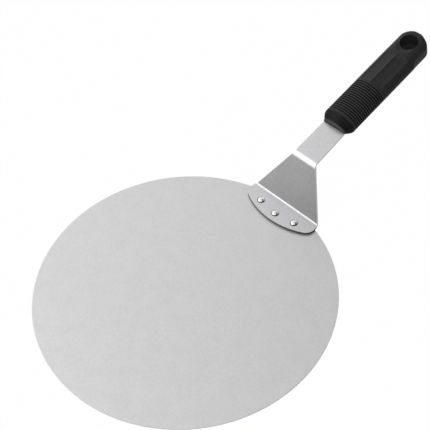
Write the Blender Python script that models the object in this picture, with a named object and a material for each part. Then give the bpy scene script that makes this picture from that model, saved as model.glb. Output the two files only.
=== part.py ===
"""Round pizza peel: a thin steel disc, a bent steel bracket riveted to its rim, a moulded black handle.

Metres, +Z up. The origin is the centre of the blade's underside, which lies on the table.
The handle points along +Y.
"""
import math

import bmesh
import bpy
from mathutils import Matrix, Vector

# Sizes in metres and angles in degrees. Each one is written once, here.

# Blade: a flat disc of stainless sheet with a broken edge.
BLADE_DIAMETER = 0.254
BLADE_THICKNESS = 0.001
BLADE_EDGE_BREAK = 0.0002
BLADE_SIDES = 180

# Seating gap left between touching pieces.
SEAT_GAP = 0.0003

# Bracket: one piece of 2 mm sheet with a rounded foot, a tapering riser, a strap and a hidden tang.
SHEET_THICKNESS = 0.002
FOLD_INSIDE_RIM = 0.0011
FOOT_DEPTH = 0.0232
FOOT_NOSE_RADIUS = 0.068
FOOT_HALF_WIDTH = 0.0372
FOOT_CORNER_RADIUS = 0.009
LARGEST_CORNER_SHARE = 0.75
FOOT_SIDES_DRAW_IN = 0.0016
FOLD_INSIDE_RADIUS = 0.0016
RISER_LENGTH = 0.0468
RISER_ANGLE = 61.2
NECK_HALF_WIDTH = 0.0121
NECK_INSIDE_RADIUS = 0.005
STRAP_LENGTH = 0.0393
STRAP_ANGLE = 13.1
STRAP_END_HALF_WIDTH = 0.0115
TANG_HALF_WIDTH = 0.009
TANG_LENGTH = 0.062
LOCK_HOLE_DIAMETER = 0.007
LOCK_HOLE_FROM_TANG_END = 0.017
FOLD_STEPS = 5
NECK_STEPS = 6
FOOT_NOSE_STEPS = 9
FOOT_CORNER_STEPS = 6

# Rivets: low domed heads seated in shallow dishes of the foot, tails set flush under the blade.
RIVET_HALF_SPACING = 0.0194
OUTER_RIVET_FROM_FOLD = 0.0123
MIDDLE_RIVET_FROM_FOLD = 0.0152
RIVET_SHANK_DIAMETER = 0.0032
RIVET_HEAD_DIAMETER = 0.0056
RIVET_HEAD_SEAT_DEPTH = 0.0009
RIVET_HEAD_EDGE_DEPTH = 0.0003
RIVET_DOME_RISE = 0.0008
RIVET_TAIL_DIAMETER = 0.0052
RIVET_TAIL_DEPTH = 0.0007
RIVET_TAIL_RECESS = 0.00005
RIVET_SIDES = 24
RIVET_DOME_STEPS = 4

# Handle: an oval moulded grip. Its own axis runs +Y from its front face, tilted and raised a little.
# Its lengths follow on from each other: nose, collar, ribs, facets, step, end, rounded tip.
HANDLE_DIPS_FROM_STRAP = 1.1
HANDLE_RAISE = 0.0015
HANDLE_HALF_WIDTH = 0.0161
HANDLE_HALF_HEIGHT = 0.0113
FRONT_HALF_WIDTH = 0.0119
FRONT_HALF_HEIGHT = 0.0062
BEZEL_DEPTH = 0.0010
BEZEL_HALF_WIDTH = 0.0121
BEZEL_HALF_HEIGHT = 0.0069
NOSE_LENGTH = 0.0078
NOSE_STEPS = 5
RIB_GROOVES = 16
FIRST_GROOVE_FROM_NOSE = 0.0034
RIB_PITCH = 0.00237
GROOVE_WIDTH = 0.0013
GROOVE_DEPTH = 0.0007
GROOVE_FLOOR_SHARE = 0.3
FACETS_FROM_LAST_GROOVE = 0.00255
FACET_RUN_IN = 0.0008
FACET_LENGTH = 0.0364
FACET_RUN_OUT = 0.003
FACET_HOLLOW = 0.0006
STEP_LENGTH = 0.0010
END_HALF_WIDTH = 0.0143
END_HALF_HEIGHT = 0.0110
END_SQUARENESS = 3.1
END_LENGTH = 0.0183
END_ROUND_LENGTH = 0.0098
END_ROUND_SQUARENESS = 6.0
END_STEPS = 10
END_LAST_ANGLE = 85.0
HANDLE_SIDES = 32

# Hanging hole: a wide round well from above, a smaller hole on through, a shallow dish towards the grip.
WELL_DIAMETER = 0.0164
WELL_DEPTH = 0.0120
WELL_EDGE_BREAK = 0.0006
HANG_HOLE_DIAMETER = 0.008
HANG_HOLE_FROM_TIP = 0.0146
HANG_HOLE_SIDES = 36
DISH_BEFORE_HOLE = 0.0050
DISH_HALF_LENGTH = 0.0092
DISH_HALF_WIDTH = 0.0085
DISH_DEPTH = 0.0016
DISH_STEPS = 6
DISH_STEPS_ABOVE = 2

# Cutters run this far past the faces they cut.
OVERRUN = 0.002

# Edges sharper than these angles stay crisp.
STEEL_SHARP_ANGLE = 30.0
RIVET_SHARP_ANGLE = 40.0
HANDLE_SHARP_ANGLE = 28.0

# Colour (linear), metallic value and roughness of each finish.
SATIN_STEEL = ((0.62, 0.62, 0.62), 1.0, 0.32)
POLISHED_STEEL = ((0.68, 0.68, 0.68), 1.0, 0.2)
BLACK_PLASTIC = ((0.018, 0.018, 0.019), 0.0, 0.5)


def finish(name, values):
    """Make one material from its colour, metallic value and roughness."""
    colour, metallic, roughness = values
    material = bpy.data.materials.new(name)
    material.use_nodes = True
    shader = material.node_tree.nodes["Principled BSDF"]
    shader.inputs["Base Color"].default_value = (*colour, 1.0)
    shader.inputs["Metallic"].default_value = metallic
    shader.inputs["Roughness"].default_value = roughness
    material.diffuse_color = (*colour, 1.0)
    return material


def add_object(name, bm, values=None):
    """Turn a bmesh into a scene object; one without a finish is a cutter."""
    bmesh.ops.recalc_face_normals(bm, faces=bm.faces)
    mesh = bpy.data.meshes.new(name)
    bm.to_mesh(mesh)
    bm.free()
    obj = bpy.data.objects.new(name, mesh)
    bpy.context.scene.collection.objects.link(obj)
    if values is None:
        obj.hide_render = True
        obj.display_type = "WIRE"
    else:
        mesh.materials.append(finish(name + "_finish", values))
    return obj


def cut(obj, cutter):
    """Take the cutter's shape out of the object."""
    modifier = obj.modifiers.new("cut_" + cutter.name, "BOOLEAN")
    modifier.operation = "DIFFERENCE"
    modifier.object = cutter


def shade(obj, sharp_angle):
    """Shade round faces smooth and keep edges sharper than the angle crisp."""
    obj.data.shade_smooth()
    obj.data.set_sharp_from_angle(angle=math.radians(sharp_angle))


def loft(rings):
    """Join closed rings of points, first to last, and close both ends with flat caps."""
    bm = bmesh.new()
    rows = [[bm.verts.new(point) for point in ring] for ring in rings]
    count = len(rows[0])
    for low, high in zip(rows, rows[1:]):
        for i in range(count):
            j = (i + 1) % count
            bm.faces.new((low[i], low[j], high[j], high[i]))
    bm.faces.new(reversed(rows[0]))
    bm.faces.new(rows[-1])
    return bm


def turned(profile, sides):
    """Turn a profile of (radius, height) points, bottom to top, round +Z."""
    steps = [math.tau * i / sides for i in range(sides)]
    return loft([[(r * math.cos(t), r * math.sin(t), z) for t in steps] for r, z in profile])


def circle_arc(centre, radius, start, end, steps):
    """Points along an arc in a plane, angles in radians, both ends included."""
    angles = [start + (end - start) * i / steps for i in range(steps + 1)]
    return [(centre[0] + radius * math.cos(a), centre[1] + radius * math.sin(a)) for a in angles]


# Places that several pieces share.
FOLD_FROM_CENTRE = BLADE_DIAMETER / 2 - FOLD_INSIDE_RIM
FOLD_HALF_WIDTH = FOOT_HALF_WIDTH - FOOT_SIDES_DRAW_IN
OUTER_RIVET_FROM_CENTRE = FOLD_FROM_CENTRE - OUTER_RIVET_FROM_FOLD
MIDDLE_RIVET_FROM_CENTRE = FOLD_FROM_CENTRE - MIDDLE_RIVET_FROM_FOLD
FOOT_UNDERSIDE = BLADE_THICKNESS + SEAT_GAP
FOOT_TOP = FOOT_UNDERSIDE + SHEET_THICKNESS
FOOT_MIDDLE = FOOT_UNDERSIDE + SHEET_THICKNESS / 2

# Where each rivet stands, seen from above with the handle pointing away.
RIVET_PLACES = {
    "rivet_left": (-RIVET_HALF_SPACING, OUTER_RIVET_FROM_CENTRE),
    "rivet_middle": (0.0, MIDDLE_RIVET_FROM_CENTRE),
    "rivet_right": (RIVET_HALF_SPACING, OUTER_RIVET_FROM_CENTRE),
}

# The handle's slope, and its stations from its front face.
HANDLE_ANGLE = STRAP_ANGLE - HANDLE_DIPS_FROM_STRAP
FIRST_GROOVE_FROM_FRONT = NOSE_LENGTH + FIRST_GROOVE_FROM_NOSE
LAST_GROOVE_FROM_FRONT = FIRST_GROOVE_FROM_FRONT + RIB_PITCH * (RIB_GROOVES - 1)
LOCK_HOLE_FROM_FRONT = TANG_LENGTH - LOCK_HOLE_FROM_TANG_END
FACET_START = LAST_GROOVE_FROM_FRONT + FACETS_FROM_LAST_GROOVE
FACET_END = FACET_START + FACET_RUN_IN + FACET_LENGTH
STEP_START = FACET_END + FACET_RUN_OUT
END_START = STEP_START + STEP_LENGTH
END_ROUND_START = END_START + END_LENGTH
HANDLE_LENGTH = END_ROUND_START + END_ROUND_LENGTH
HANG_HOLE_FROM_FRONT = HANDLE_LENGTH - HANG_HOLE_FROM_TIP
DISH_FROM_FRONT = HANG_HOLE_FROM_FRONT - DISH_BEFORE_HOLE


def rivet_profile(clearance):
    """Outline of a rivet, tail to dome, or of the hole that it needs with a clearance all round."""
    shank = RIVET_SHANK_DIAMETER / 2 + clearance
    tail = RIVET_TAIL_DIAMETER / 2 + clearance
    head = RIVET_HEAD_DIAMETER / 2 + clearance
    head_edge = FOOT_TOP - RIVET_HEAD_EDGE_DEPTH
    lower = [
        (tail, RIVET_TAIL_RECESS),
        (shank, RIVET_TAIL_DEPTH + clearance),
        (shank, FOOT_TOP - RIVET_HEAD_SEAT_DEPTH - clearance),
        (head, head_edge - clearance),
    ]
    if clearance > 0.0:
        return [(tail, -OVERRUN)] + lower + [(head, FOOT_TOP + OVERRUN)]
    quarter = [math.pi / 2 * i / RIVET_DOME_STEPS for i in range(RIVET_DOME_STEPS)]
    rise = RIVET_HEAD_EDGE_DEPTH + RIVET_DOME_RISE
    return lower + [(head * math.cos(a), head_edge + rise * math.sin(a)) for a in quarter]


def rivet_hole(name, place):
    """Cutter for one rivet's hole and dish, through the foot and the blade alike."""
    cutter = add_object("hole_for_" + name, turned(rivet_profile(SEAT_GAP), RIVET_SIDES))
    cutter.location = (*place, 0.0)
    return cutter


def make_blade():
    """The flat disc, its edge lightly broken above and below."""
    radius = BLADE_DIAMETER / 2
    broken = radius - BLADE_EDGE_BREAK
    profile = [
        (broken, 0.0),
        (radius, BLADE_EDGE_BREAK),
        (radius, BLADE_THICKNESS - BLADE_EDGE_BREAK),
        (broken, BLADE_THICKNESS),
    ]
    return add_object("blade", turned(profile, BLADE_SIDES), SATIN_STEEL)


def foot_outline():
    """Right half of the foot's outline, nose to fold, as (half width, distance along the sheet)."""
    nose_centre = FOOT_NOSE_RADIUS - FOOT_DEPTH
    side = math.sqrt(FOOT_NOSE_RADIUS ** 2 - FOOT_HALF_WIDTH ** 2) - nose_centre
    corner_radius = min(FOOT_CORNER_RADIUS, side * LARGEST_CORNER_SHARE)
    corner_x = FOOT_HALF_WIDTH - corner_radius
    centres_apart = FOOT_NOSE_RADIUS - corner_radius
    corner_t = nose_centre - math.sqrt(centres_apart ** 2 - corner_x ** 2)
    meet = math.atan2(corner_t - nose_centre, corner_x)
    nose = circle_arc((0.0, nose_centre), FOOT_NOSE_RADIUS, -math.pi / 2, meet, FOOT_NOSE_STEPS)
    to_fold = math.atan2(-corner_t, FOLD_HALF_WIDTH - corner_x)
    reach = math.hypot(corner_t, FOLD_HALF_WIDTH - corner_x)
    leave = to_fold - math.acos(corner_radius / reach)
    corner = circle_arc((corner_x, corner_t), corner_radius, meet, leave, FOOT_CORNER_STEPS)
    return nose + corner[1:] + [(FOLD_HALF_WIDTH, 0.0)]


def sheet_path():
    """The bends of the sheet's middle layer: (start distance, length, radius, turn) of each one."""
    rise = math.radians(RISER_ANGLE)
    ease = math.radians(RISER_ANGLE - STRAP_ANGLE)
    fold_radius = FOLD_INSIDE_RADIUS + SHEET_THICKNESS / 2
    neck_radius = NECK_INSIDE_RADIUS + SHEET_THICKNESS / 2
    fold_setback = fold_radius * math.tan(rise / 2)
    neck_setback = neck_radius * math.tan(ease / 2)
    fold_start = -fold_setback
    neck_start = fold_start + fold_radius * rise + RISER_LENGTH - fold_setback - neck_setback
    strap_start = neck_start + neck_radius * ease
    strap_end = strap_start + STRAP_LENGTH - neck_setback
    bends = [(fold_start, fold_radius, rise), (neck_start, neck_radius, -ease)]
    return bends, strap_end


def bent(point, bends):
    """Place a point of the flat blank (x, distance along, height off the middle) on the bent sheet."""
    x, along, height = point
    here = Vector((0.0, FOLD_FROM_CENTRE, FOOT_MIDDLE))
    angle = 0.0
    done = 0.0
    for start, radius, turn in bends:
        run = min(along, start) - done
        here += run * Vector((0.0, math.cos(angle), math.sin(angle)))
        done += run
        if along <= start:
            break
        part = min((along - start) / (radius * abs(turn)), 1.0)
        side = math.copysign(radius, turn)
        centre = here + side * Vector((0.0, -math.sin(angle), math.cos(angle)))
        angle += turn * part
        here = centre - side * Vector((0.0, -math.sin(angle), math.cos(angle)))
        done += radius * abs(turn) * part
    here += (along - done) * Vector((0.0, math.cos(angle), math.sin(angle)))
    return here + Vector((x, -height * math.sin(angle), height * math.cos(angle)))


def make_bracket(bends, strap_end):
    """Cut the flat blank, then fold it at the foot and ease it at the neck."""
    neck_middle = bends[1][0] + bends[1][1] * abs(bends[1][2]) / 2
    tang_end = strap_end + TANG_LENGTH
    right = foot_outline()
    shoulder = strap_end - SEAT_GAP
    right += [(NECK_HALF_WIDTH, neck_middle), (STRAP_END_HALF_WIDTH, shoulder)]
    right += [(TANG_HALF_WIDTH, shoulder), (TANG_HALF_WIDTH, tang_end)]
    left = [(-x, t) for x, t in reversed(right[1:])]
    bm = bmesh.new()
    half = SHEET_THICKNESS / 2
    blank = bm.faces.new([bm.verts.new((x, t, -half)) for x, t in right + left])
    raised = bmesh.ops.extrude_face_region(bm, geom=[blank])["geom"]
    top = [item for item in raised if isinstance(item, bmesh.types.BMVert)]
    bmesh.ops.translate(bm, verts=top, vec=(0.0, 0.0, SHEET_THICKNESS))
    for (start, radius, turn), steps in zip(bends, (FOLD_STEPS, NECK_STEPS)):
        for i in range(steps + 1):
            line = (0.0, start + radius * abs(turn) * i / steps, 0.0)
            everything = bm.verts[:] + bm.edges[:] + bm.faces[:]
            bmesh.ops.bisect_plane(bm, geom=everything, plane_co=line, plane_no=(0.0, 1.0, 0.0))
    for vert in bm.verts:
        vert.co = bent(vert.co, bends)
    return add_object("bracket", bm, SATIN_STEEL)


def make_rivet(name, place):
    """One rivet, tail down."""
    rivet = add_object(name, turned(rivet_profile(0.0), RIVET_SIDES), POLISHED_STEEL)
    rivet.location = (*place, 0.0)
    return rivet


def rounded(half_width, half_height, along, angle, squareness=2.0):
    """A point of an oval section; a squareness above two fills its corners out."""
    share = 2.0 / squareness
    x = math.copysign(abs(math.cos(angle)) ** share, math.cos(angle))
    z = math.copysign(abs(math.sin(angle)) ** share, math.sin(angle))
    return Vector((half_width * x, along, half_height * z))


def oval(half_width, half_height, along, squareness=2.0):
    """One plain ring of the handle."""
    steps = [math.tau * i / HANDLE_SIDES for i in range(HANDLE_SIDES)]
    return [rounded(half_width, half_height, along, t, squareness) for t in steps]


def faceted(along):
    """A ring of the grip with two hollow facets on the upper face and two on the lower one."""
    ring = oval(HANDLE_HALF_WIDTH, HANDLE_HALF_HEIGHT, along)
    eighth = HANDLE_SIDES // 8
    for corner in (eighth, 2 * eighth, 5 * eighth, 6 * eighth):
        first = ring[corner].copy()
        last = ring[corner + eighth].copy()
        for i in range(1, eighth):
            share = i / eighth
            inward = Vector((-first.x - last.x, 0.0, -first.z - last.z)).normalized()
            hollow = FACET_HOLLOW * math.sin(math.pi * share)
            ring[corner + i] = first.lerp(last, share) + hollow * inward
    return ring


def handle_rings():
    """All rings of the handle, front face to rounded end."""
    rings = []
    rings.append(oval(FRONT_HALF_WIDTH, FRONT_HALF_HEIGHT, 0.0))
    for i in range(NOSE_STEPS + 1):
        share = i / NOSE_STEPS
        swell = math.sin(math.pi / 2 * share)
        width = BEZEL_HALF_WIDTH + (HANDLE_HALF_WIDTH - BEZEL_HALF_WIDTH) * swell
        height = BEZEL_HALF_HEIGHT + (HANDLE_HALF_HEIGHT - BEZEL_HALF_HEIGHT) * share
        rings.append(oval(width, height, BEZEL_DEPTH + (NOSE_LENGTH - BEZEL_DEPTH) * share))
    floor = GROOVE_WIDTH * GROOVE_FLOOR_SHARE / 2
    for i in range(RIB_GROOVES):
        middle = FIRST_GROOVE_FROM_FRONT + RIB_PITCH * i
        for offset, depth in ((-GROOVE_WIDTH / 2, 0.0), (-floor, GROOVE_DEPTH),
                              (floor, GROOVE_DEPTH), (GROOVE_WIDTH / 2, 0.0)):
            width = HANDLE_HALF_WIDTH - depth
            rings.append(oval(width, HANDLE_HALF_HEIGHT - depth, middle + offset))
    rings.append(oval(HANDLE_HALF_WIDTH, HANDLE_HALF_HEIGHT, FACET_START))
    rings.append(faceted(FACET_START + FACET_RUN_IN))
    rings.append(faceted(FACET_END))
    rings.append(oval(HANDLE_HALF_WIDTH, HANDLE_HALF_HEIGHT, STEP_START))
    rings.append(oval(END_HALF_WIDTH, END_HALF_HEIGHT, END_START, END_SQUARENESS))
    for i in range(END_STEPS + 1):
        angle = math.radians(END_LAST_ANGLE) * i / END_STEPS
        share = math.sin(angle)
        drop = (1.0 - share ** END_ROUND_SQUARENESS) ** (1.0 / END_ROUND_SQUARENESS)
        width = END_HALF_WIDTH * math.cos(angle)
        along = END_ROUND_START + END_ROUND_LENGTH * share
        rings.append(oval(width, END_HALF_HEIGHT * drop, along, END_SQUARENESS))
    return rings


def tang_pocket(frame):
    """Cutter for the slot that the tang fills, left whole where the plastic locks through it."""
    half_width = TANG_HALF_WIDTH + SEAT_GAP
    half_height = SHEET_THICKNESS / 2 + SEAT_GAP
    corners = [(-half_width, -half_height), (half_width, -half_height),
               (half_width, half_height), (-half_width, half_height)]
    stations = (-OVERRUN, TANG_LENGTH + SEAT_GAP)
    pocket = add_object("tang_pocket", loft([[(x, s, z) for x, z in corners] for s in stations]))
    plug_radius = LOCK_HOLE_DIAMETER / 2 - SEAT_GAP
    plug = lock_cylinder("lock_plug", plug_radius, frame)
    cut(pocket, plug)
    pocket.matrix_world = frame
    return pocket


def lock_cylinder(name, radius, frame):
    """A short upright cylinder at the tang's lock hole."""
    height = SHEET_THICKNESS / 2 + OVERRUN
    body = add_object(name, turned([(radius, -height), (radius, height)], RIVET_SIDES))
    body.matrix_world = frame @ Matrix.Translation((0.0, LOCK_HOLE_FROM_FRONT, 0.0))
    return body


def hang_hole(frame):
    """Cutter for the hanging hole: narrow below, wide above, with a broken upper edge."""
    floor = END_HALF_HEIGHT - WELL_DEPTH
    narrow = HANG_HOLE_DIAMETER / 2
    wide = WELL_DIAMETER / 2
    broken = wide + WELL_EDGE_BREAK + OVERRUN
    profile = [
        (narrow, -END_HALF_HEIGHT - OVERRUN),
        (narrow, floor),
        (wide, floor),
        (wide, END_HALF_HEIGHT - WELL_EDGE_BREAK),
        (broken, END_HALF_HEIGHT + OVERRUN),
    ]
    cutter = add_object("hang_hole", turned(profile, HANG_HOLE_SIDES))
    cutter.matrix_world = frame @ Matrix.Translation((0.0, HANG_HOLE_FROM_FRONT, 0.0))
    return cutter


def hang_dish(frame):
    """Cutter for the shallow dish in front of the hanging hole."""
    rings = []
    steps = [math.tau * i / HANG_HOLE_SIDES for i in range(HANG_HOLE_SIDES)]
    for i in range(1, DISH_STEPS + DISH_STEPS_ABOVE + 1):
        share = i / DISH_STEPS
        width = DISH_HALF_WIDTH * share
        length = DISH_HALF_LENGTH * share
        height = END_HALF_HEIGHT - DISH_DEPTH * (1.0 - share ** 2)
        rings.append([(width * math.cos(t), length * math.sin(t), height) for t in steps])
    cutter = add_object("hang_dish", loft(rings))
    cutter.matrix_world = frame @ Matrix.Translation((0.0, DISH_FROM_FRONT, 0.0))
    return cutter


def make_handle(frame, tang_frame):
    """The moulded grip, closed round the tang."""
    handle = add_object("handle", loft(handle_rings()), BLACK_PLASTIC)
    handle.matrix_world = frame
    cut(handle, tang_pocket(tang_frame))
    cut(handle, hang_dish(frame))
    cut(handle, hang_hole(frame))
    return handle


for old in list(bpy.data.objects):
    bpy.data.objects.remove(old)

bends, strap_end = sheet_path()
front = bent((0.0, strap_end, 0.0), bends)
tang_frame = Matrix.Translation(front) @ Matrix.Rotation(math.radians(STRAP_ANGLE), 4, "X")
handle_frame = Matrix.Translation(front) @ Matrix.Rotation(math.radians(HANDLE_ANGLE), 4, "X")
handle_frame = handle_frame @ Matrix.Translation((0.0, 0.0, HANDLE_RAISE))

blade = make_blade()
bracket = make_bracket(bends, strap_end)
handle = make_handle(handle_frame, tang_frame)
cut(bracket, lock_cylinder("lock_hole", LOCK_HOLE_DIAMETER / 2, tang_frame))
for rivet_name, rivet_place in RIVET_PLACES.items():
    shade(make_rivet(rivet_name, rivet_place), RIVET_SHARP_ANGLE)
    hole = rivet_hole(rivet_name, rivet_place)
    cut(blade, hole)
    cut(bracket, hole)
shade(blade, STEEL_SHARP_ANGLE)
shade(bracket, STEEL_SHARP_ANGLE)
shade(handle, HANDLE_SHARP_ANGLE)
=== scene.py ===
import math

import bmesh
import bpy
from mathutils import Matrix, Vector


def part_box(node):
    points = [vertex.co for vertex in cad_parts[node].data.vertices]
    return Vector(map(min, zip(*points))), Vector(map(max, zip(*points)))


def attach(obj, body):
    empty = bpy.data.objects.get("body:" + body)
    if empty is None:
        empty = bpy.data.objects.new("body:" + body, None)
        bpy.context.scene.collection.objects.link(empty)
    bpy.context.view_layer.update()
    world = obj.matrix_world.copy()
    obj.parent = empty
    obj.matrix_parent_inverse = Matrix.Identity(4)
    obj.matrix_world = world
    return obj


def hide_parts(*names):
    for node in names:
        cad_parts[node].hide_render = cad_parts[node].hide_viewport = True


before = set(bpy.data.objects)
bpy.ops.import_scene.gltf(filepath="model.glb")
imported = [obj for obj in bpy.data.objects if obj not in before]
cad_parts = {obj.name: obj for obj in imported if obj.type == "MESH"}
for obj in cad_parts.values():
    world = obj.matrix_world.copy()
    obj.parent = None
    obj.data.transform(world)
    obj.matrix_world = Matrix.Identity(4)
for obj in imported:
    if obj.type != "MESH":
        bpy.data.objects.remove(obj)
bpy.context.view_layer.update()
bpy.ops.object.select_all(action="DESELECT")

# Camera: a long lens that looks down on the peel from the front right, with a slight roll.
# Its focal length is given in the picture's own pixels, and the picture is 430 of them across.
CAMERA_AZIMUTH = math.radians(47.60)
CAMERA_ELEVATION = math.radians(50.33)
CAMERA_ROLL = math.radians(-3.81)
CAMERA_DISTANCE = 0.8297
CAMERA_RIGHT = 0.0250
CAMERA_UP = 0.0626
FOCAL_PIXELS = 1000
PICTURE_PIXELS = 430
BLADE_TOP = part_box("blade")[1][2]

aim = Matrix.Translation((0, 0, BLADE_TOP)) @ Matrix.Rotation(CAMERA_AZIMUTH, 4, "Z")
aim = aim @ Matrix.Rotation(math.pi / 2 - CAMERA_ELEVATION, 4, "X") @ Matrix.Rotation(CAMERA_ROLL, 4, "Z")
bpy.ops.object.camera_add()
camera = bpy.context.object
camera.name = "camera"
camera.matrix_world = aim @ Matrix.Translation((CAMERA_RIGHT, CAMERA_UP, CAMERA_DISTANCE))
camera.data.lens = camera.data.sensor_width * FOCAL_PIXELS / PICTURE_PIXELS
bpy.context.scene.camera = camera
bpy.context.scene.view_settings.view_transform = "Standard"

# Floor and light: a white sweep of paper under a soft studio sky, brightest beyond the peel's left side.
# A softbox at the front left whitens the two folds, and a lamp overhead lights the rivets. A fill beside
# the camera, which the steel doesn't mirror, lifts the black plastic.
FLOOR_SIZE = 12.0
FLOOR_LEVEL = -0.0001
FLOOR_COLOUR = (0.3, 0.3, 0.3, 1.0)
FLOOR_WHITE_SHARE = 0.992
FLOOR_MIRRORED_SHARE = 0.3
SKY_BRIGHT_SIDE = (-0.85, 0.20, 0.48)
SKY_DARK = 0.13
SKY_BRIGHT = 1.26
SKY_DARK_FROM = -0.3
SOFTBOX_FROM = (-0.50, -0.52, 0.69)
SOFTBOX_DISTANCE = 1.4
SOFTBOX_WIDTH = 1.0
SOFTBOX_HEIGHT = 1.25
SOFTBOX_POWER = 6.0
OVERHEAD_FROM = (0.12, -0.11, 0.99)
OVERHEAD_DISTANCE = 1.4
OVERHEAD_SIZE = 0.85
OVERHEAD_POWER = 1.8
FILL_FROM = (0.47, -0.43, 0.77)
FILL_DISTANCE = 1.3
FILL_SIZE = 0.9
FILL_POWER = 10.0


class Wire:
    """One output of a node; Python's own operators carry it on through more nodes."""

    def __init__(self, tree, socket=None):
        self.tree = tree
        self.socket = socket

    def node(self, kind, settings=(), inputs=(), output=0):
        """Add one node: its settings first, then the values or wires of its sockets."""
        made = self.tree.nodes.new(kind)
        for name, value in dict(settings).items():
            setattr(made, name, value)
        self.join(made, inputs)
        return Wire(self.tree, made.outputs[output])

    def join(self, made, inputs):
        """Give a node's sockets their values or wires."""
        for name, value in dict(inputs).items():
            if isinstance(value, Wire):
                self.tree.links.new(value.socket, made.inputs[name])
            else:
                made.inputs[name].default_value = value

    def math(self, operation, first, second):
        return self.node("ShaderNodeMath", {"operation": operation}, {0: first, 1: second})

    def __add__(self, other):
        return self.math("ADD", self, other)

    def __radd__(self, other):
        return self.math("ADD", other, self)

    def __sub__(self, other):
        return self.math("SUBTRACT", self, other)

    def __rsub__(self, other):
        return self.math("SUBTRACT", other, self)

    def __mul__(self, other):
        return self.math("MULTIPLY", self, other)

    def __rmul__(self, other):
        return self.math("MULTIPLY", other, self)


def hang_lamp(name, side, distance, width, height, power):
    """Hang an oblong lamp out to one side of the blade's centre, and face it there."""
    place = Vector(side) * distance
    bpy.ops.object.light_add(type="AREA", location=place, rotation=place.to_track_quat("Z", "Y").to_euler())
    lamp = bpy.context.object
    lamp.name = name
    lamp.data.shape = "RECTANGLE"
    lamp.data.size = width
    lamp.data.size_y = height
    lamp.data.energy = power
    return lamp


world = bpy.data.worlds.new("studio_sky")
bpy.context.scene.world = world
world.use_nodes = True
sky = Wire(world.node_tree)
towards = sky.node("ShaderNodeTexCoord", output="Generated")
facing = sky.node(
    "ShaderNodeVectorMath", {"operation": "DOT_PRODUCT"}, {0: towards, 1: SKY_BRIGHT_SIDE}, "Value")
rise = sky.node("ShaderNodeMapRange", inputs={"Value": facing, "From Min": SKY_DARK_FROM, "From Max": 1.0})
glow = SKY_DARK + (SKY_BRIGHT - SKY_DARK) * rise * rise * rise
sky.join(world.node_tree.nodes["Background"], {"Color": glow, "Strength": 1.0})

bpy.ops.mesh.primitive_plane_add(size=FLOOR_SIZE, location=(0, 0, FLOOR_LEVEL))
floor = bpy.context.object
floor.name = "floor"
paper = bpy.data.materials.new("white_paper")
paper.use_nodes = True
nodes = paper.node_tree.nodes
nodes["Principled BSDF"].inputs["Base Color"].default_value = FLOOR_COLOUR
nodes["Principled BSDF"].inputs["Roughness"].default_value = 1.0
nodes["Principled BSDF"].inputs["Specular IOR Level"].default_value = 0.0
sheet = Wire(paper.node_tree)
seen = sheet.node("ShaderNodeLightPath", output="Is Camera Ray")
seen = seen + sheet.node("ShaderNodeLightPath", output="Is Glossy Ray") * FLOOR_MIRRORED_SHARE
seen = seen + sheet.node("ShaderNodeLightPath", output="Is Transmission Ray")
white = sheet.node("ShaderNodeEmission", inputs={"Color": (1, 1, 1, 1), "Strength": 1.0})
lit = Wire(paper.node_tree, nodes["Principled BSDF"].outputs[0])
shown = sheet.node("ShaderNodeMixShader", inputs={0: seen * FLOOR_WHITE_SHARE, 1: lit, 2: white})
sheet.join(nodes["Material Output"], {"Surface": shown})
floor.data.materials.append(paper)

hang_lamp("softbox", SOFTBOX_FROM, SOFTBOX_DISTANCE, SOFTBOX_WIDTH, SOFTBOX_HEIGHT, SOFTBOX_POWER)
hang_lamp("overhead", OVERHEAD_FROM, OVERHEAD_DISTANCE, OVERHEAD_SIZE, OVERHEAD_SIZE, OVERHEAD_POWER)
fill = hang_lamp("fill", FILL_FROM, FILL_DISTANCE, FILL_SIZE, FILL_SIZE, FILL_POWER)
fill.visible_glossy = False

# Blade: a flat disc cut from 1 mm stainless sheet, with a satin face and a broken rim painted lighter as a
# highlight.
# It lies on the floor, and three rivets near its rim join it to the bracket's foot. Their outline stands
# here, because the blade is the first piece that has holes for them.
BLADE_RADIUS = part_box("blade")[1][0]
BLADE_SIDES = 360
RIM_BREAK = 0.0002
RIM_STEPS = 3
RIM_FLAT = 0.0008
RIM_TILT = 0.9
NEAR = 1e-6
WELD = 1e-7
FOLD_INSIDE_RIM = 0.0011
FOLD_FROM_CENTRE = BLADE_RADIUS - FOLD_INSIDE_RIM
SEAT_GAP = 0.0003
SHEET_THICKNESS = 0.002
FOOT_TOP = BLADE_TOP + SEAT_GAP + SHEET_THICKNESS
RIVET_PLACES = {
    "rivet_left": (-0.0194, FOLD_FROM_CENTRE - 0.0123),
    "rivet_middle": (0.0, FOLD_FROM_CENTRE - 0.0152),
    "rivet_right": (0.0194, FOLD_FROM_CENTRE - 0.0123),
}
RIVET_SIDES = 64
SHANK_RADIUS = 0.0016
HEAD_RADIUS = 0.0028
TAIL_RADIUS = 0.0026
HEAD_SEAT_DEPTH = 0.0009
HEAD_EDGE_DEPTH = 0.0003
DOME_RISE = 0.0010
TAIL_DEPTH = 0.0006
DIMPLE_RADIUS = 0.0037
DIMPLE_FLOOR_RADIUS = 0.0033
DIMPLE_DEPTH = 0.00035
DIMPLE_OVERRUN = 0.00005
TAIL_RECESS = 0.00005
OVERRUN = 0.002
STEEL_COLOUR = (0.66, 0.66, 0.66, 1.0)
STEEL_ROUGHNESS = 0.36
STEEL_METAL = 0.8
# The rim is painted lighter as a highlight.
RIM_PAINTED_HIGHLIGHT_COLOUR = (0.92, 0.92, 0.92, 1.0)
RIM_ROUGHNESS = 0.30
STEEL_SHARP_ANGLE = 40
STEEL_CLOUD_SCALE = 70.0
STEEL_CLOUD_DEPTH = 0.10
STEEL_CLOUD_ROUGHNESS = 0.08
STEEL_GRAIN_SCALE = 620.0
STEEL_GRAIN_DEPTH = 0.18
STEEL_GRAIN_BUMP = 0.10
STEEL_GRAIN_HEIGHT = 0.0001


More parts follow.
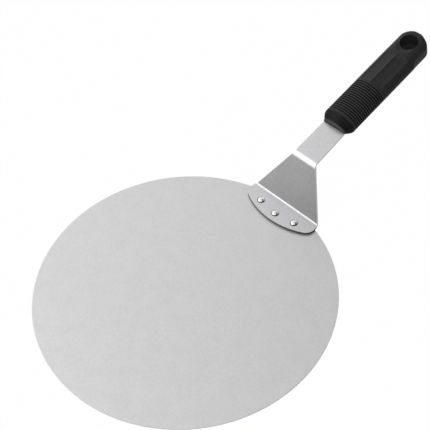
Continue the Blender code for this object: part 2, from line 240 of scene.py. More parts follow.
def pick(kind, test):
    """In edit mode, select only the verts, edges or faces whose corners all pass a test."""
    bpy.ops.mesh.select_mode(type=kind)
    bpy.ops.mesh.select_all(action="DESELECT")
    mesh = bmesh.from_edit_mesh(bpy.context.edit_object.data)
    if kind == "VERT":
        for vert in mesh.verts:
            vert.select_set(test(vert.co))
    else:
        for item in (mesh.edges if kind == "EDGE" else mesh.faces):
            item.select_set(all(test(vert.co) for vert in item.verts))
    bmesh.update_edit_mesh(bpy.context.edit_object.data)


def close(name):
    """Leave edit mode with the mesh welded and its faces turned outwards, and name the piece."""
    bpy.ops.mesh.select_all(action="SELECT")
    bpy.ops.mesh.remove_doubles(threshold=WELD)
    bpy.ops.mesh.normals_make_consistent(inside=False)
    bpy.ops.object.mode_set(mode="OBJECT")
    bpy.ops.object.transform_apply(location=True, rotation=True, scale=True)
    piece = bpy.context.object
    piece.name = name
    piece.data.name = name
    return piece


def turned(name, profile, sides=RIVET_SIDES):
    """A turned solid: a filled circle drawn up +Z through steps of (radius, height)."""
    radius, height = profile[0]
    bpy.ops.mesh.primitive_circle_add(
        vertices=sides, radius=radius, fill_type="NGON", location=(0, 0, height))
    bpy.ops.object.mode_set(mode="EDIT")
    for (old_radius, old_height), (radius, height) in zip(profile, profile[1:]):
        bpy.ops.mesh.extrude_region_move(TRANSFORM_OT_translate={"value": (0, 0, height - old_height)})
        share = radius / old_radius
        bpy.ops.transform.resize(value=(share, share, 1), center_override=(0, 0, height))
    return close(name)


def change(piece, kind, **settings):
    """Add one modifier to a piece and apply it."""
    bpy.context.view_layer.objects.active = piece
    modifier = piece.modifiers.new(kind.lower(), kind)
    for name, value in settings.items():
        setattr(modifier, name, value)
    bpy.ops.object.modifier_apply(modifier=modifier.name)


def cut(piece, cutter):
    """Take a cutter's shape out of a piece and throw the cutter away."""
    change(piece, "BOOLEAN", operation="DIFFERENCE", object=cutter, solver="EXACT")
    bpy.data.objects.remove(cutter)


def smooth(piece, angle):
    """Shade a piece round, with edges sharper than the angle left crisp."""
    bpy.ops.object.select_all(action="DESELECT")
    piece.select_set(True)
    bpy.context.view_layer.objects.active = piece
    bpy.ops.object.shade_smooth_by_angle(angle=math.radians(angle))


def rivet_outline(clearance):
    """A rivet from its tail up to the edge of its dome, with a clearance all round."""
    head_edge = FOOT_TOP - HEAD_EDGE_DEPTH
    return [
        (TAIL_RADIUS + clearance, TAIL_RECESS),
        (SHANK_RADIUS + clearance, TAIL_DEPTH + clearance),
        (SHANK_RADIUS + clearance, FOOT_TOP - HEAD_SEAT_DEPTH - clearance),
        (HEAD_RADIUS + clearance, head_edge - clearance),
    ]


def cut_rivet_holes(piece):
    """Cut the three rivets' holes, and the shallow seats of their heads and tails."""
    for x, y in RIVET_PLACES.values():
        outline = rivet_outline(SEAT_GAP)
        drill = turned("drill", [
            (outline[0][0], -OVERRUN),
            *outline,
            (outline[-1][0], FOOT_TOP - DIMPLE_DEPTH),
            (DIMPLE_FLOOR_RADIUS, FOOT_TOP - DIMPLE_DEPTH),
            (DIMPLE_RADIUS, FOOT_TOP + DIMPLE_OVERRUN),
            (DIMPLE_RADIUS + DIMPLE_OVERRUN, FOOT_TOP + OVERRUN),
        ])
        drill.location = (x, y, 0)
        cut(piece, drill)


def satin_steel(name, colour, roughness, metal, grain_depth=STEEL_GRAIN_DEPTH, painted_shading=None):
    """Steel with a fine satin grain, faintly clouded as it comes from the rolling mill."""
    material = bpy.data.materials.new(name)
    material.use_nodes = True
    shader = material.node_tree.nodes["Principled BSDF"]
    steel = Wire(material.node_tree)
    place = steel.node("ShaderNodeTexCoord", output="Object")
    cloud = steel.node(
        "ShaderNodeTexNoise", inputs={"Vector": place, "Scale": STEEL_CLOUD_SCALE, "Detail": 4.0})
    grain = steel.node(
        "ShaderNodeTexNoise", inputs={"Vector": place, "Scale": STEEL_GRAIN_SCALE, "Detail": 2.0})
    shade = 1.0 - STEEL_CLOUD_DEPTH / 2 - grain_depth / 2 + cloud * STEEL_CLOUD_DEPTH + grain * grain_depth
    # Where given, painted shading multiplies the steel's colour.
    if painted_shading:
        shade = shade * painted_shading(steel, place)
    tint = steel.node("ShaderNodeVectorMath", {"operation": "SCALE"}, {0: colour[:3], "Scale": shade})
    bump = steel.node("ShaderNodeBump", inputs={
        "Height": grain, "Strength": STEEL_GRAIN_BUMP, "Distance": STEEL_GRAIN_HEIGHT})
    steel.join(shader, {
        "Base Color": tint,
        "Metallic": metal,
        "Roughness": roughness - STEEL_CLOUD_ROUGHNESS / 2 + cloud * STEEL_CLOUD_ROUGHNESS,
        "Normal": bump,
    })
    return material


bpy.ops.mesh.primitive_cylinder_add(
    vertices=BLADE_SIDES, radius=BLADE_RADIUS, depth=BLADE_TOP, location=(0, 0, BLADE_TOP / 2))
bpy.ops.object.transform_apply(location=True, rotation=False, scale=False)
bpy.ops.object.mode_set(mode="EDIT")
pick("EDGE", lambda co: co.z > BLADE_TOP - NEAR)
bpy.ops.mesh.bevel(offset=RIM_BREAK, segments=RIM_STEPS)
pick("EDGE", lambda co: co.z < NEAR)
bpy.ops.mesh.bevel(offset=RIM_BREAK, segments=RIM_STEPS)
pick("FACE", lambda co: co.z > BLADE_TOP - NEAR)
bpy.ops.mesh.inset(thickness=RIM_FLAT)
pick("FACE", lambda co: co.z < NEAR)
bpy.ops.mesh.inset(thickness=RIM_FLAT)
blade = close("blade_disc")
cut_rivet_holes(blade)
smooth(blade, STEEL_SHARP_ANGLE)
change(blade, "WEIGHTED_NORMAL", keep_sharp=True)
blade.data.materials.append(satin_steel("satin_blade", STEEL_COLOUR, STEEL_ROUGHNESS, STEEL_METAL))
blade.data.materials.append(satin_steel("rim_painted_highlight", RIM_PAINTED_HIGHLIGHT_COLOUR, RIM_ROUGHNESS, STEEL_METAL))
# The rim's faces take the painted highlight.
for face in blade.data.polygons:
    on_rim = face.center.xy.length > BLADE_RADIUS - RIM_BREAK and abs(face.normal.z) < RIM_TILT
    face.material_index = int(on_rim)
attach(blade, "root")
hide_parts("blade")

# Bracket: one blank of 2 mm stainless, folded up off the blade and eased over into the strap. Its rounded
# foot is riveted down on the blade, and its narrower tang runs on inside the handle. Its satin grain is
# stronger than the blade's. Its sheared edge has a painted shadow round the foot and a painted highlight
# above it, and the riser has painted shading, darker towards the right end of the fold and lighter towards
# the neck.
FOOT_MIDDLE = BLADE_TOP + SEAT_GAP + SHEET_THICKNESS / 2
FOOT_DEPTH = 0.0232
FOOT_NOSE_RADIUS = 0.068
FOOT_HALF_WIDTH = 0.0372
FOOT_CORNER_RADIUS = 0.009
FOLD_HALF_WIDTH = 0.0356
FOLD_RADIUS = 0.0025 + SHEET_THICKNESS / 2
RISER_LENGTH = 0.0468
RISER_ANGLE = math.radians(61.2)
NECK_HALF_WIDTH = 0.0121
NECK_RADIUS = 0.0070 + SHEET_THICKNESS / 2
STRAP_LENGTH = 0.0393
STRAP_ANGLE = math.radians(13.1)
STRAP_END_HALF_WIDTH = 0.0115
TANG_HALF_WIDTH = 0.009
TANG_LENGTH = 0.062
LOCK_HOLE_RADIUS = 0.0035
LOCK_HOLE_FROM_FRONT = 0.045
NOSE_STEPS = 24
CORNER_STEPS = 14
FOLD_STEPS = 12
NECK_STEPS = 16
SHEET_EDGE_ROUND = 0.00040
SHEET_EDGE_STEPS = 3
SHEET_EDGE_ANGLE = 35
BRACKET_COLOUR = (0.66, 0.66, 0.67, 1.0)
BRACKET_ROUGHNESS = 0.34
BRACKET_METAL = 0.9
BRACKET_GRAIN_DEPTH = 0.30
# Painted light on the sheet's edge: a light colour as a painted highlight, darkened round the foot as a
# painted shadow.
EDGE_PAINTED_HIGHLIGHT_COLOUR = (0.95, 0.95, 0.96, 1.0)
FOOT_EDGE_PAINTED_SHADOW = 0.12
EDGE_FADE_LENGTH = 0.006
EDGE_ROUGHNESS = 0.42
# Painted shading on the riser: its colour is darkened and lightened where its reflections would fall.
RISER_PAINTED_SHADE_TOWARDS = (-0.50, 0.0, 0.87)
RISER_PAINTED_SHADE_FROM = -0.015
RISER_PAINTED_SHADE_TO = 0.038
RISER_PAINTED_SHADE_LOW = 0.80
RISER_PAINTED_SHADE_HIGH = 1.14
RISER_PAINTED_SHADE_EASE = 0.002

fold_setback = FOLD_RADIUS * math.tan(RISER_ANGLE / 2)
ease = RISER_ANGLE - STRAP_ANGLE
neck_setback = NECK_RADIUS * math.tan(ease / 2)
fold_arc = FOLD_RADIUS * RISER_ANGLE
neck_arc = NECK_RADIUS * ease
riser_flat = RISER_LENGTH - fold_setback - neck_setback
neck_middle = -fold_setback + fold_arc + riser_flat + neck_arc / 2


def half_width_at(along):
    """Half the sheet's width at a distance along the blank from the fold."""
    if along < neck_middle:
        return FOLD_HALF_WIDTH + (NECK_HALF_WIDTH - FOLD_HALF_WIDTH) * along / neck_middle
    strap_end = neck_middle + neck_arc / 2 + STRAP_LENGTH - neck_setback
    share = min((along - neck_middle) / (strap_end - neck_middle), 1.0)
    return NECK_HALF_WIDTH + (STRAP_END_HALF_WIDTH - NECK_HALF_WIDTH) * share


def draw_sheet(step, slope, along):
    """Carry the sheet's free edge on by one step at a slope, and bring it to its width there."""
    move = (0, step * math.cos(slope), step * math.sin(slope))
    bpy.ops.mesh.extrude_region_move(TRANSFORM_OT_translate={"value": move})
    mesh = bmesh.from_edit_mesh(bpy.context.edit_object.data)
    here = next(vert.co.copy() for vert in mesh.verts if vert.select)
    share = half_width_at(along) / abs(here.x)
    bpy.ops.transform.resize(value=(share, 1, 1), center_override=(0, here.y, here.z))


def ramp(wire, value, start, end, low=0.0, high=1.0):
    """A level that goes from low to high while a value goes from start to end."""
    return wire.node("ShaderNodeMapRange", inputs={
        "Value": value, "From Min": start, "From Max": end, "To Min": low, "To Max": high})


def edge_painted_light(steel, place):
    """Painted light on the sheared edge: a painted shadow round the foot, and a painted highlight above the
    fold.
    """
    y = steel.node("ShaderNodeSeparateXYZ", inputs={0: place}, output="Y")
    return ramp(steel, y, fold_y - EDGE_FADE_LENGTH / 2, fold_y + EDGE_FADE_LENGTH / 2, FOOT_EDGE_PAINTED_SHADOW)


def riser_painted_shading(steel, place):
    """Painted shading on the riser: darker towards the right end of the fold, and lighter towards the neck.
    """
    y = steel.node("ShaderNodeSeparateXYZ", inputs={0: place}, output="Y")
    rise = steel.node(
        "ShaderNodeVectorMath", {"operation": "DOT_PRODUCT"}, {0: place, 1: RISER_PAINTED_SHADE_TOWARDS}, "Value")
    level = ramp(steel, rise, RISER_PAINTED_SHADE_FROM, RISER_PAINTED_SHADE_TO, RISER_PAINTED_SHADE_LOW, RISER_PAINTED_SHADE_HIGH)
    neck_y = FOLD_FROM_CENTRE + RISER_LENGTH * math.cos(RISER_ANGLE)
    on_riser = ramp(steel, y, FOLD_FROM_CENTRE - RISER_PAINTED_SHADE_EASE, FOLD_FROM_CENTRE + RISER_PAINTED_SHADE_EASE)
    on_riser = on_riser - ramp(steel, y, neck_y - RISER_PAINTED_SHADE_EASE, neck_y + RISER_PAINTED_SHADE_EASE)
    return 1.0 + on_riser * (level - 1.0)


# The foot: one point is spun round the nose and one corner, mirrored, and filled.
nose_y = FOLD_FROM_CENTRE - FOOT_DEPTH
nose_centre_y = nose_y + FOOT_NOSE_RADIUS
corner_x = FOOT_HALF_WIDTH - FOOT_CORNER_RADIUS
corner_y = nose_centre_y - math.sqrt((FOOT_NOSE_RADIUS - FOOT_CORNER_RADIUS) ** 2 - corner_x ** 2)
meet = math.atan2(corner_y - nose_centre_y, corner_x)
to_fold = math.atan2(FOLD_FROM_CENTRE - corner_y, FOLD_HALF_WIDTH - corner_x)
reach = math.hypot(FOLD_FROM_CENTRE - corner_y, FOLD_HALF_WIDTH - corner_x)
leave = to_fold - math.acos(FOOT_CORNER_RADIUS / reach)

bpy.ops.mesh.primitive_plane_add(size=OVERRUN, location=(0, nose_y, FOOT_MIDDLE))
bpy.ops.object.transform_apply(location=True, rotation=False, scale=False)
bpy.ops.object.mode_set(mode="EDIT")
bpy.ops.mesh.select_mode(type="VERT")
bpy.ops.mesh.merge(type="CENTER")
for steps, angle, centre in (
        (NOSE_STEPS, meet + math.pi / 2, (0, nose_centre_y, FOOT_MIDDLE)),
        (CORNER_STEPS, leave - meet, (corner_x, corner_y, FOOT_MIDDLE))):
    bpy.ops.mesh.spin(steps=steps, angle=angle, center=centre, axis=(0, 0, -1))
mesh = bmesh.from_edit_mesh(bpy.context.edit_object.data)
corner_end = next(vert.co.copy() for vert in mesh.verts if vert.select)
fold_y = FOLD_FROM_CENTRE - fold_setback
move = (half_width_at(-fold_setback) - corner_end.x, fold_y - corner_end.y, 0)
bpy.ops.mesh.extrude_region_move(TRANSFORM_OT_translate={"value": move})
bpy.ops.mesh.select_all(action="SELECT")
bpy.ops.mesh.duplicate()
bpy.ops.transform.resize(value=(-1, 1, 1), center_override=(0, 0, 0))
bpy.ops.mesh.select_all(action="SELECT")
bpy.ops.mesh.remove_doubles(threshold=NEAR)
bpy.ops.mesh.edge_face_add()

# The fold, riser, neck, strap and tang: the free edge is drawn on step by step.
pick("EDGE", lambda co: co.y > fold_y - NEAR)
along = -fold_setback
for i in range(FOLD_STEPS):
    along += fold_arc / FOLD_STEPS
    chord = 2 * FOLD_RADIUS * math.sin(RISER_ANGLE / FOLD_STEPS / 2)
    draw_sheet(chord, RISER_ANGLE * (i + 0.5) / FOLD_STEPS, along)
along += riser_flat
draw_sheet(riser_flat, RISER_ANGLE, along)
for i in range(NECK_STEPS):
    along += neck_arc / NECK_STEPS
    chord = 2 * NECK_RADIUS * math.sin(ease / NECK_STEPS / 2)
    draw_sheet(chord, RISER_ANGLE - ease * (i + 0.5) / NECK_STEPS, along)
strap_flat = STRAP_LENGTH - neck_setback - SEAT_GAP
along += strap_flat
draw_sheet(strap_flat, STRAP_ANGLE, along)
mesh = bmesh.from_edit_mesh(bpy.context.edit_object.data)
shoulder = next(vert.co.copy() for vert in mesh.verts if vert.select)
draw_sheet(TANG_LENGTH + SEAT_GAP, STRAP_ANGLE, along)
for side in (-1, 1):
    pick("FACE", lambda co: co.y > shoulder.y - NEAR)
    bpy.ops.mesh.bisect(plane_co=(side * TANG_HALF_WIDTH, 0, 0), plane_no=(side, 0, 0))
pick("FACE", lambda co: co.y > shoulder.y - NEAR and abs(co.x) > TANG_HALF_WIDTH - NEAR)
bpy.ops.mesh.delete(type="FACE")
bracket = close("bracket_sheet")

# The sheet's thickness, its rivet holes, the tang's lock hole and the rounded edges.
# The bracket's satin takes the riser's painted shading, and its edge a painted shadow and painted
# highlight.
bracket.data.materials.append(satin_steel(
    "satin_bracket", BRACKET_COLOUR, BRACKET_ROUGHNESS, BRACKET_METAL, BRACKET_GRAIN_DEPTH, riser_painted_shading))
bracket.data.materials.append(satin_steel("sheared_edge_painted_light", EDGE_PAINTED_HIGHLIGHT_COLOUR, EDGE_ROUGHNESS, 1.0, painted_shading=edge_painted_light))
change(bracket, "SOLIDIFY", thickness=SHEET_THICKNESS, offset=0.0, use_even_offset=True,
       material_offset_rim=1)
cut_rivet_holes(bracket)
front = (0, shoulder.y + SEAT_GAP * math.cos(STRAP_ANGLE), shoulder.z + SEAT_GAP * math.sin(STRAP_ANGLE))
tang_frame = Matrix.Translation(front) @ Matrix.Rotation(STRAP_ANGLE, 4, "X")
punch = turned("punch", [(LOCK_HOLE_RADIUS, -OVERRUN), (LOCK_HOLE_RADIUS, OVERRUN)])
punch.matrix_world = tang_frame @ Matrix.Translation((0, LOCK_HOLE_FROM_FRONT, 0))
cut(bracket, punch)
change(bracket, "BEVEL", width=SHEET_EDGE_ROUND, segments=SHEET_EDGE_STEPS,
       limit_method="ANGLE", angle_limit=math.radians(SHEET_EDGE_ANGLE))
smooth(bracket, STEEL_SHARP_ANGLE)
change(bracket, "WEIGHTED_NORMAL", keep_sharp=True)
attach(bracket, "root")
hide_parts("bracket")

# Rivets: three steel rivets of one pattern, set with a press. Their low polished domes stand in shallow
# dimples of the foot, each with a brim round it painted dark as shade, and their tails are flush under the
# blade.
RIVET_COLOUR = (0.85, 0.85, 0.85, 1.0)
RIVET_ROUGHNESS = 0.12
DOME_STEPS = 12
BRIM_RADIUS = 0.0029
BRIM_HEIGHT = 0.0005
# The brim's dark colour is painted shade.
BRIM_PAINTED_SHADE_COLOUR = (0.10, 0.10, 0.105, 1.0)

brim = FOOT_TOP + BRIM_HEIGHT
dome_radius = (BRIM_RADIUS ** 2 + DOME_RISE ** 2) / (2 * DOME_RISE)
dome_reach = math.asin(BRIM_RADIUS / dome_radius)
dome = [(dome_radius * math.sin(a), brim + DOME_RISE - dome_radius * (1.0 - math.cos(a)))
        for a in (dome_reach * (1.0 - i / DOME_STEPS) for i in range(DOME_STEPS))]
pattern = turned("rivet_pattern", rivet_outline(0.0) + dome)
smooth(pattern, STEEL_SHARP_ANGLE)
pattern.data.materials.append(satin_steel("polished_rivet", RIVET_COLOUR, RIVET_ROUGHNESS, 1.0))
pattern.data.materials.append(satin_steel("brim_painted_shade", BRIM_PAINTED_SHADE_COLOUR, EDGE_ROUGHNESS, 1.0))
# The brim's faces take the painted shade.
for face in pattern.data.polygons:
    face.material_index = int(FOOT_TOP - HEAD_EDGE_DEPTH < face.center.z < brim)
for name, (x, y) in RIVET_PLACES.items():
    bpy.ops.object.select_all(action="DESELECT")
    pattern.select_set(True)
    bpy.context.view_layer.objects.active = pattern
    bpy.ops.object.duplicate(linked=False)
    rivet = bpy.context.object
    rivet.name = name + "_set"
    rivet.data.name = rivet.name
    rivet.location = (x, y, 0)
    bpy.ops.object.transform_apply(location=True, rotation=False, scale=False)
    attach(rivet, "root")
    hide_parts(name)
bpy.data.objects.remove(pattern)

# Handle: black plastic moulded round the tang, an oval grip with a nose painted darker as shade, a front
# face painted lighter as a highlight, ribs with painted highlights on their ridges and painted shade in
# their grooves, four hollow facets and a squarer end with a hanging hole. It is drawn along +Y from its
# front face, and then tilted and set on the strap.
HANDLE_ANGLE = math.radians(12.0)
HANDLE_RAISE = 0.0015
HANDLE_SIDES = 96
HALF_WIDTH = 0.0161
HALF_HEIGHT = 0.0113
FRONT_HALF_WIDTH = 0.0119
FRONT_HALF_HEIGHT = 0.0062
BEZEL_DEPTH = 0.0010
BEZEL_HALF_WIDTH = 0.0121
BEZEL_HALF_HEIGHT = 0.0069
NOSE_LENGTH = 0.0078
NOSE_RINGS = 12
RIB_GROOVES = 16
FIRST_GROOVE = 0.0112
RIB_PITCH = 0.00237
GROOVE_HALF_WIDTH = 0.00080
GROOVE_DEPTH = 0.0011
GROOVE_SIDE_SHARES = ((1.0, 0.0), (0.8, 0.2), (0.6, 0.8), (0.35, 1.0))
FACET_START = 0.0493
FACET_RUN_IN = 0.0008
FACET_END = 0.0865
FACET_RUN_OUT = 0.003
FACET_RUN_OUT_RINGS = 6
FACET_HOLLOW = 0.0006
FACET_LIP = 0.0011
FACET_LIP_SHARES = ((1, 0.6), (2, 0.3), (3, 0.1))
END_START = 0.0955
END_HALF_WIDTH = 0.0143
END_HALF_HEIGHT = 0.01099
END_CORNER_SHARE = 0.68
END_BRIDGE_RINGS = 8
END_BRIDGE_SMOOTHNESS = 0.8
END_ROUND_START = 0.1088
END_ROUND_LENGTH = 0.0098
END_ROUND_SQUARENESS = 6.0
END_RINGS = 18
END_LAST_ANGLE = 86.0
WELL_RADIUS = 0.0082
WELL_DEPTH = 0.0120
WELL_EDGE_BREAK = 0.0006
WELL_EDGE_OUT_SHARE = 0.4
WELL_EDGE_UP_SHARE = 0.7
HANG_HOLE_RADIUS = 0.004
HANG_HOLE_FROM_FRONT = 0.1040
HANG_HOLE_SIDES = 96
DISH_FROM_FRONT = 0.0990
DISH_HALF_LENGTH = 0.0092
DISH_HALF_WIDTH = 0.0085
DISH_DEPTH = 0.0016
DISH_RINGS = 10
DISH_RINGS_ABOVE = 3
HANDLE_NEAR = 1e-5
HANDLE_SHARP_ANGLE = 28
PLASTIC_COLOUR = (0.024, 0.024, 0.0245, 1.0)
# Painted light on the plastic: highlights on rib ridges and the front face, shade in grooves and on the
# nose.
RIDGE_PAINTED_HIGHLIGHT = 1.7
GROOVE_PAINTED_SHADE = 0.2
RIDGE_FROM = 0.36
GROOVE_TO = 0.18
NOSE_PAINTED_SHADE = 0.30
FRONT_PAINTED_HIGHLIGHT = 1.8
BARE_SHADE = 0.45
PORE_SCALE = 1800.0
PORE_BUMP = 0.25
PORE_HEIGHT = 0.0001
SCUFF_SCALE = 450.0
SCUFF_DEPTH = 0.6
HAZE_SCALE = 90.0
HAZE_DEPTH = 0.4
HAZE_ROUGHNESS = 0.1
PLASTIC_ROUGHNESS = 0.36
PLASTIC_SHINE = 0.13


def draw_ring(old, new):
    """Carry the handle's open end on from one (along, half width, half height) to the next."""
    bpy.ops.mesh.extrude_region_move(TRANSFORM_OT_translate={"value": (0, new[0] - old[0], 0)})
    bpy.ops.transform.resize(value=(new[1] / old[1], 1, new[2] / old[2]), center_override=(0, new[0], 0))


# The rings from the front face to the end of the facets: (along, half width, half height).
stations = [(0.0, FRONT_HALF_WIDTH, FRONT_HALF_HEIGHT)]
for i in range(NOSE_RINGS + 1):
    share = i / NOSE_RINGS
    swell = math.sin(math.pi / 2 * share)
    stations.append((BEZEL_DEPTH + (NOSE_LENGTH - BEZEL_DEPTH) * share,
                     BEZEL_HALF_WIDTH + (HALF_WIDTH - BEZEL_HALF_WIDTH) * swell,
                     BEZEL_HALF_HEIGHT + (HALF_HEIGHT - BEZEL_HALF_HEIGHT) * share))
groove_shape = [(-across, deep) for across, deep in GROOVE_SIDE_SHARES]
groove_shape += reversed(GROOVE_SIDE_SHARES)
for i in range(RIB_GROOVES):
    for across, deep in groove_shape:
        depth = GROOVE_DEPTH * deep
        stations.append((FIRST_GROOVE + RIB_PITCH * i + GROOVE_HALF_WIDTH * across,
                         HALF_WIDTH - depth, HALF_HEIGHT - depth))
facet_flat = FACET_START + FACET_RUN_IN
facet_lengths = [FACET_START, FACET_START + FACET_RUN_IN / 2, facet_flat]
facet_lengths += [facet_flat + FACET_LIP * count for count, deep in FACET_LIP_SHARES]
facet_lengths += [FACET_END - FACET_LIP * count for count, deep in reversed(FACET_LIP_SHARES)]
for i in range(FACET_RUN_OUT_RINGS + 1):
    facet_lengths.append(FACET_END + FACET_RUN_OUT * i / FACET_RUN_OUT_RINGS)
stations += [(along, HALF_WIDTH, HALF_HEIGHT) for along in facet_lengths]

bpy.ops.mesh.primitive_circle_add(
    vertices=HANDLE_SIDES, radius=1.0, fill_type="NGON", rotation=(math.pi / 2, 0, 0))
bpy.ops.object.transform_apply(location=False, rotation=True, scale=False)
bpy.ops.object.mode_set(mode="EDIT")
bpy.ops.transform.resize(value=(stations[0][1], 1, stations[0][2]), center_override=(0, 0, 0))
for old, new in zip(stations, stations[1:]):
    draw_ring(old, new)

# The facets: the oval between its middle and its corners is pressed flat, and then hollowed in steps.
facet_corner = (HALF_WIDTH * math.cos(math.pi / 4), HALF_HEIGHT * math.sin(math.pi / 4))
facet_tilt = math.atan2(HALF_HEIGHT - facet_corner[1], facet_corner[0])
for side in (-1, 1):
    for face in (-1, 1):
        for along in facet_lengths[1:-1]:
            full = 1.0
            if along < FACET_START + FACET_RUN_IN:
                full = (along - FACET_START) / FACET_RUN_IN
            if along > FACET_END:
                full = math.cos(math.pi / 2 * (along - FACET_END) / FACET_RUN_OUT) ** 2
            squeeze = 1.0 - full
            pick("VERT", lambda co: abs(co.y - along) < HANDLE_NEAR and face * co.z > 0 and
                 HANDLE_NEAR < side * co.x < facet_corner[0] - HANDLE_NEAR)
            turn = Matrix.Rotation(side * face * facet_tilt, 3, "Y")
            bpy.ops.transform.resize(value=(1, 1, squeeze), orient_type="GLOBAL", orient_matrix=turn,
                                     orient_matrix_type="GLOBAL", constraint_axis=(False, False, True),
                                     center_override=(0, along, face * HALF_HEIGHT))

for side in (-1, 1):
    for face in (-1, 1):
        inwards = (-side * math.sin(facet_tilt), 0, -face * math.cos(facet_tilt))
        for count, deep in FACET_LIP_SHARES:
            edge = FACET_LIP * (count - 0.5)
            pick("VERT", lambda co: facet_flat + edge < co.y < FACET_END - edge and
                 edge < side * co.x < facet_corner[0] - edge and face * co.z > 0)
            bpy.ops.transform.translate(value=[c * FACET_HOLLOW * deep for c in inwards])

# The end: a round-cornered plate, drawn out and domed, and bridged softly to the grip.
facets_end = facet_lengths[-1]
pick("FACE", lambda co: co.y > facets_end - HANDLE_NEAR)
bpy.ops.mesh.delete(type="ONLY_FACE")
bpy.ops.mesh.primitive_plane_add(size=2.0, rotation=(math.pi / 2, 0, 0), location=(0, END_START, 0))
bpy.ops.mesh.bevel(
    offset=END_CORNER_SHARE, segments=HANDLE_SIDES // 4 - 1, affect="VERTICES", clamp_overlap=False)
bpy.ops.transform.resize(value=(END_HALF_WIDTH, 1, END_HALF_HEIGHT), center_override=(0, END_START, 0))
end_stations = [(END_START, END_HALF_WIDTH, END_HALF_HEIGHT)]
for i in range(END_RINGS + 1):
    angle = math.radians(END_LAST_ANGLE) * i / END_RINGS
    share = math.sin(angle)
    drop = (1.0 - share ** END_ROUND_SQUARENESS) ** (1.0 / END_ROUND_SQUARENESS)
    end_stations.append((END_ROUND_START + END_ROUND_LENGTH * share,
                         END_HALF_WIDTH * math.cos(angle), END_HALF_HEIGHT * drop))
for old, new in zip(end_stations, end_stations[1:]):
    draw_ring(old, new)
pick("FACE", lambda co: abs(co.y - END_START) < HANDLE_NEAR)
bpy.ops.mesh.delete(type="ONLY_FACE")
pick("EDGE", lambda co: min(abs(co.y - END_START), abs(co.y - facets_end)) < HANDLE_NEAR)
bpy.ops.mesh.bridge_edge_loops(
    number_cuts=END_BRIDGE_RINGS, interpolation="SURFACE", smoothness=END_BRIDGE_SMOOTHNESS)
handle = close("handle_grip")

# The slot that the tang fills, less the plug of plastic through its lock hole.
slot_length = TANG_LENGTH + SEAT_GAP + OVERRUN
slot_size = (2 * (TANG_HALF_WIDTH + SEAT_GAP), slot_length, SHEET_THICKNESS + 2 * SEAT_GAP)
handle_frame = Matrix.Translation(front) @ Matrix.Rotation(HANDLE_ANGLE, 4, "X")
handle_frame = handle_frame @ Matrix.Translation((0, 0, HANDLE_RAISE))
bpy.ops.mesh.primitive_cube_add(size=1.0, scale=slot_size)
bpy.ops.object.mode_set(mode="EDIT")
bpy.ops.transform.translate(value=(0, slot_length / 2 - OVERRUN, 0))
slot = close("tang_slot")
plug_radius = LOCK_HOLE_RADIUS - SEAT_GAP
plug = turned("plug", [(plug_radius, -OVERRUN), (plug_radius, OVERRUN)])
plug.location = (0, LOCK_HOLE_FROM_FRONT, 0)
cut(slot, plug)
slot.matrix_world = handle_frame.inverted() @ tang_frame
cut(handle, slot)

# The shallow dish, and the hanging hole: a wide well over a small hole.
dish_rings = []
for i in range(1, DISH_RINGS + 1 + DISH_RINGS_ABOVE):
    share = i / DISH_RINGS
    dish_rings.append((DISH_HALF_WIDTH * share, END_HALF_HEIGHT - DISH_DEPTH * (1.0 - share ** 2)))
dish = turned("dish", dish_rings, HANG_HOLE_SIDES)
dish.scale = (1, DISH_HALF_LENGTH / DISH_HALF_WIDTH, 1)
dish.location = (0, DISH_FROM_FRONT, 0)
cut(handle, dish)

well_floor = END_HALF_HEIGHT - WELL_DEPTH
well_top = END_HALF_HEIGHT - WELL_EDGE_BREAK
well = turned("well", [
    (HANG_HOLE_RADIUS, -END_HALF_HEIGHT - OVERRUN),
    (HANG_HOLE_RADIUS, well_floor),
    (WELL_RADIUS, well_floor),
    (WELL_RADIUS, well_top),
    (WELL_RADIUS + WELL_EDGE_BREAK * WELL_EDGE_OUT_SHARE, well_top + WELL_EDGE_BREAK * WELL_EDGE_UP_SHARE),
    (WELL_RADIUS + WELL_EDGE_BREAK + OVERRUN, well_top + WELL_EDGE_BREAK + OVERRUN),
], HANG_HOLE_SIDES)
well.location = (0, HANG_HOLE_FROM_FRONT, 0)
cut(handle, well)

handle.matrix_world = handle_frame
bpy.ops.object.select_all(action="DESELECT")
handle.select_set(True)
bpy.context.view_layer.objects.active = handle
bpy.ops.object.transform_apply(location=True, rotation=True, scale=True)
smooth(handle, HANDLE_SHARP_ANGLE)

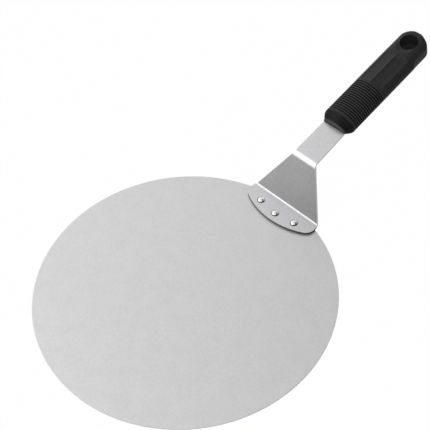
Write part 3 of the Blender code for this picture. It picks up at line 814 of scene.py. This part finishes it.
plastic = bpy.data.materials.new("moulded_plastic")
plastic.use_nodes = True
shader = plastic.node_tree.nodes["Principled BSDF"]
black = Wire(plastic.node_tree)
place = black.node("ShaderNodeTexCoord", output="Object")
pores, scuff, haze = (
    black.node("ShaderNodeTexNoise", inputs={"Vector": place, "Scale": scale, "Detail": 3.0})
    for scale in (PORE_SCALE, SCUFF_SCALE, HAZE_SCALE))
axis = handle_frame.col[1].xyz
along = black.node("ShaderNodeVectorMath", {"operation": "DOT_PRODUCT"}, {0: place, 1: axis}, "Value")
along = along - axis.dot(handle_frame.translation)
# Painted light: painted highlights on the rib ridges and the front face, painted shade in the grooves and
# on the nose.
beat = black.math("FRACT", (along - FIRST_GROOVE) * (1.0 / RIB_PITCH) + 0.5, 0.0) - 0.5
rib_painted_light = ramp(black, black.math("ABSOLUTE", beat, 0.0), GROOVE_TO, RIDGE_FROM, GROOVE_PAINTED_SHADE, RIDGE_PAINTED_HIGHLIGHT)
ribbed = black.math("GREATER_THAN", along, FIRST_GROOVE - RIB_PITCH / 2)
ribbed = ribbed * black.math("LESS_THAN", along, FIRST_GROOVE + RIB_PITCH * (RIB_GROOVES - 0.5))
nose = black.math("LESS_THAN", along, NOSE_LENGTH)
front_face = black.math("LESS_THAN", along, BEZEL_DEPTH / 2)
shade = 1.0 + ribbed * (rib_painted_light - 1.0) + nose * (NOSE_PAINTED_SHADE - 1.0) + front_face * (FRONT_PAINTED_HIGHLIGHT - NOSE_PAINTED_SHADE)
shade = shade * (BARE_SHADE + haze * HAZE_DEPTH + scuff * SCUFF_DEPTH)
tint = black.node("ShaderNodeVectorMath", {"operation": "SCALE"}, {0: PLASTIC_COLOUR[:3], "Scale": shade})
bump = black.node("ShaderNodeBump", inputs={
    "Height": pores, "Strength": PORE_BUMP, "Distance": PORE_HEIGHT})
black.join(shader, {
    "Base Color": tint,
    "Roughness": PLASTIC_ROUGHNESS + haze * HAZE_ROUGHNESS,
    "Specular IOR Level": PLASTIC_SHINE,
    "Normal": bump,
})
handle.data.materials.append(plastic)
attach(handle, "root")
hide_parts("handle")
